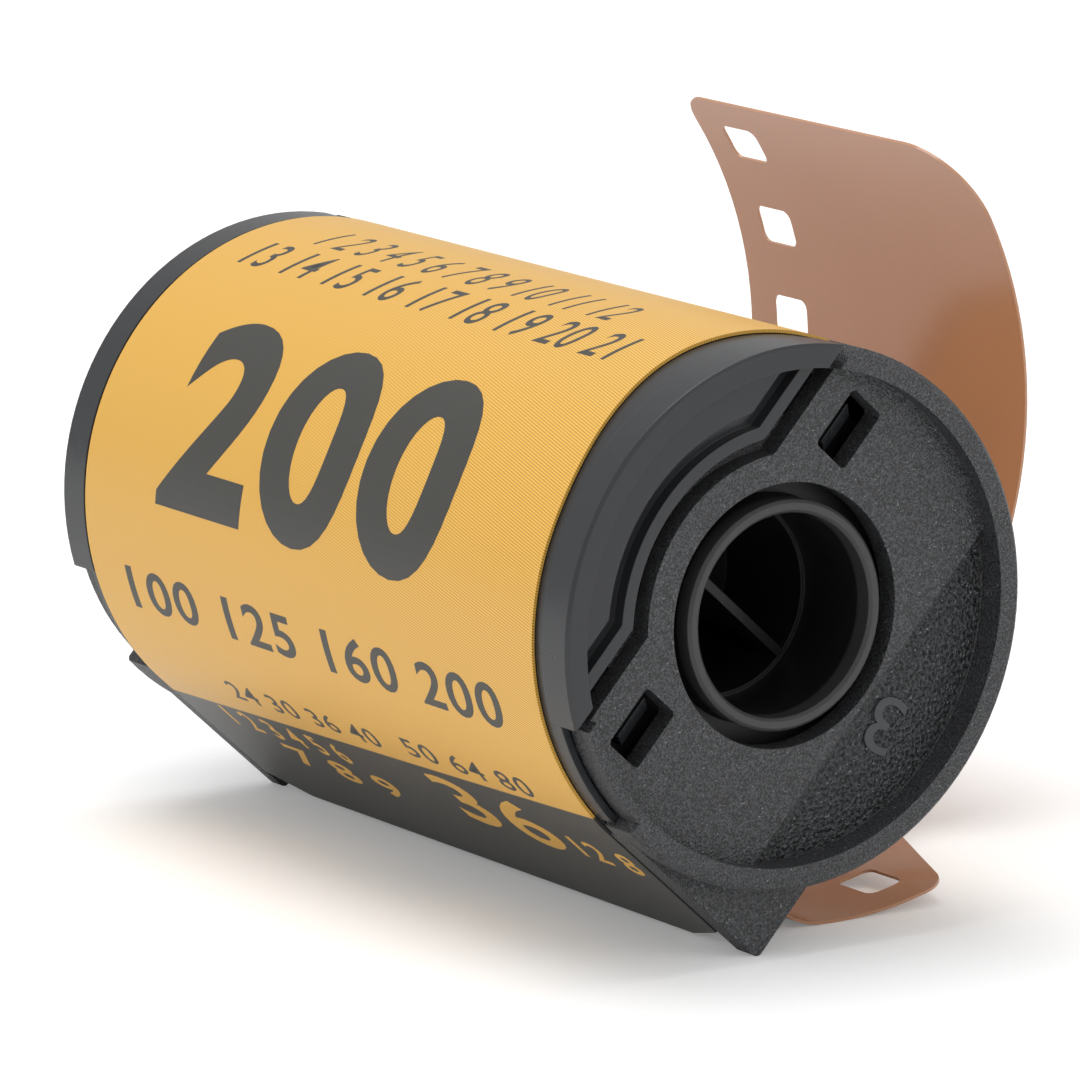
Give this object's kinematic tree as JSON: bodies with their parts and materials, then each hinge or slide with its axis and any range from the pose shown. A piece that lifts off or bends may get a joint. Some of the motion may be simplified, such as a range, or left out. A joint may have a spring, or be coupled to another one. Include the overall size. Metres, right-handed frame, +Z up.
{
  "type": "35 mm film cartridge",
  "caption": "Cylindrical snap-together film cartridge with flat rimmed ends, a wrap-round label, a protruding spool nub and a curled perforated leader.",
  "frame": {"origin": "centre of the bounding box, on the ground that the mouth's corners and the leader's curl rest on", "axes": "+Z up; +Y along the cartridge from the flat end to the nub; +X towards the leader"},
  "size_m": [0.038, 0.049, 0.0327],
  "materials": {
    "smooth_plastic": "smooth satin black moulding",
    "grained_plastic": "fine spark-eroded grain",
    "spool_plastic": "smooth satin black moulding",
    "film": "semi-gloss tan-brown film",
    "pile": "black velvet pile",
    "label": "satin printed film label"
  },
  "bodies": {
    "cartridge": {"outer_shell": "smooth_plastic", "inner_shell": "grained_plastic", "film": "film", "outer_light_trap": "pile", "inner_light_trap": "pile", "label": "label"},
    "winding_spool": {"spool": "spool_plastic"}
  },
  "joints": [
    {"name": "spool_turn", "type": "hinge", "parent": "cartridge", "child": "winding_spool", "pos_m": [-0.00641, 0, 0.01562], "axis": [0, 1, 0], "continuous": true}
  ]
}
